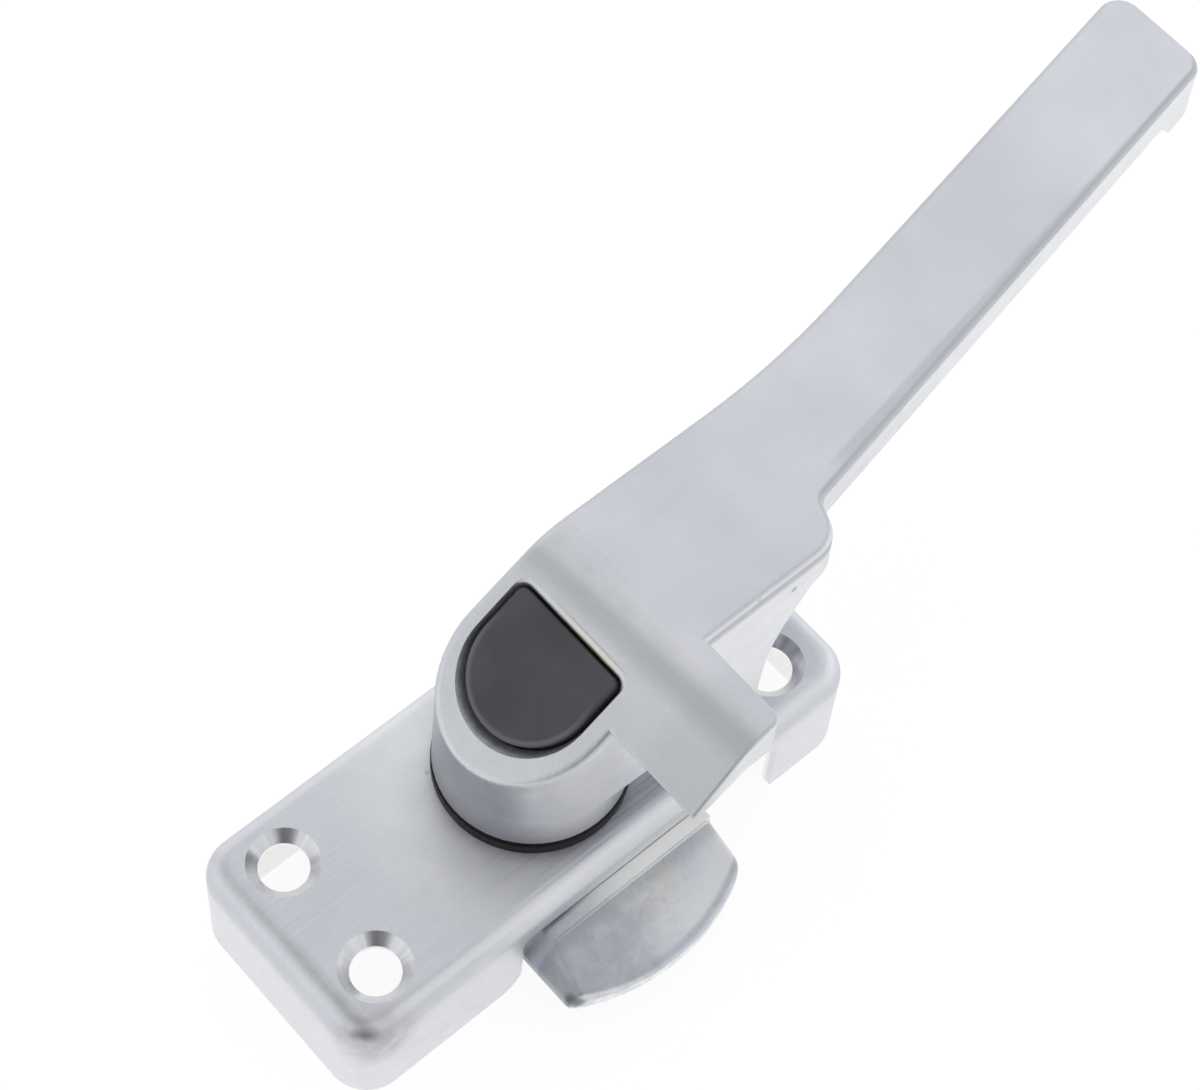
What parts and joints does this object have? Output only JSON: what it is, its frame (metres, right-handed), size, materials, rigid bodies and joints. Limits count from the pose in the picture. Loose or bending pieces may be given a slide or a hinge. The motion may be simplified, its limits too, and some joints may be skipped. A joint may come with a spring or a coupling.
{
  "type": "window latch",
  "caption": "Casement window latch: hollow base with a slot, turning tongue, cranked handle and D-shaped push button.",
  "frame": {"origin": "on the lever's turning axis, in the plane of the base's mounting rim", "axes": "+X along the base towards the grip, -Y towards the tongue, +Z out from the window"},
  "size_m": [0.1526, 0.0503, 0.0433],
  "materials": {
    "satin_metal": "satin brushed",
    "raw_zinc": "as cast, tumbled",
    "black_plastic": "matte",
    "grey_plastic": "satin",
    "white_plastic": "matte",
    "steel": "zinc plated"
  },
  "bodies": {
    "base": {"housing": "satin_metal", "bearing_ring": "black_plastic"},
    "handle": {"lever": "satin_metal", "tongue": "raw_zinc", "friction_washer": "white_plastic", "tongue_washer": "steel", "tongue_screw": "steel", "button_spring": "steel"},
    "button": {"push_button": "grey_plastic", "lock_pin": "steel"}
  },
  "joints": [
    {"name": "handle_turn", "type": "hinge", "parent": "base", "child": "handle", "pos_m": [0, 0, 0], "axis": [0, 0, 1], "range_deg": [0, 90]},
    {"name": "button_press", "type": "slide", "parent": "handle", "child": "button", "axis": [0.5145, 0, -0.8575], "range_m": [0, 0.002], "stiffness_N_per_m": 800, "springref_m": -0.002, "deforming": ["button_spring"]}
  ]
}
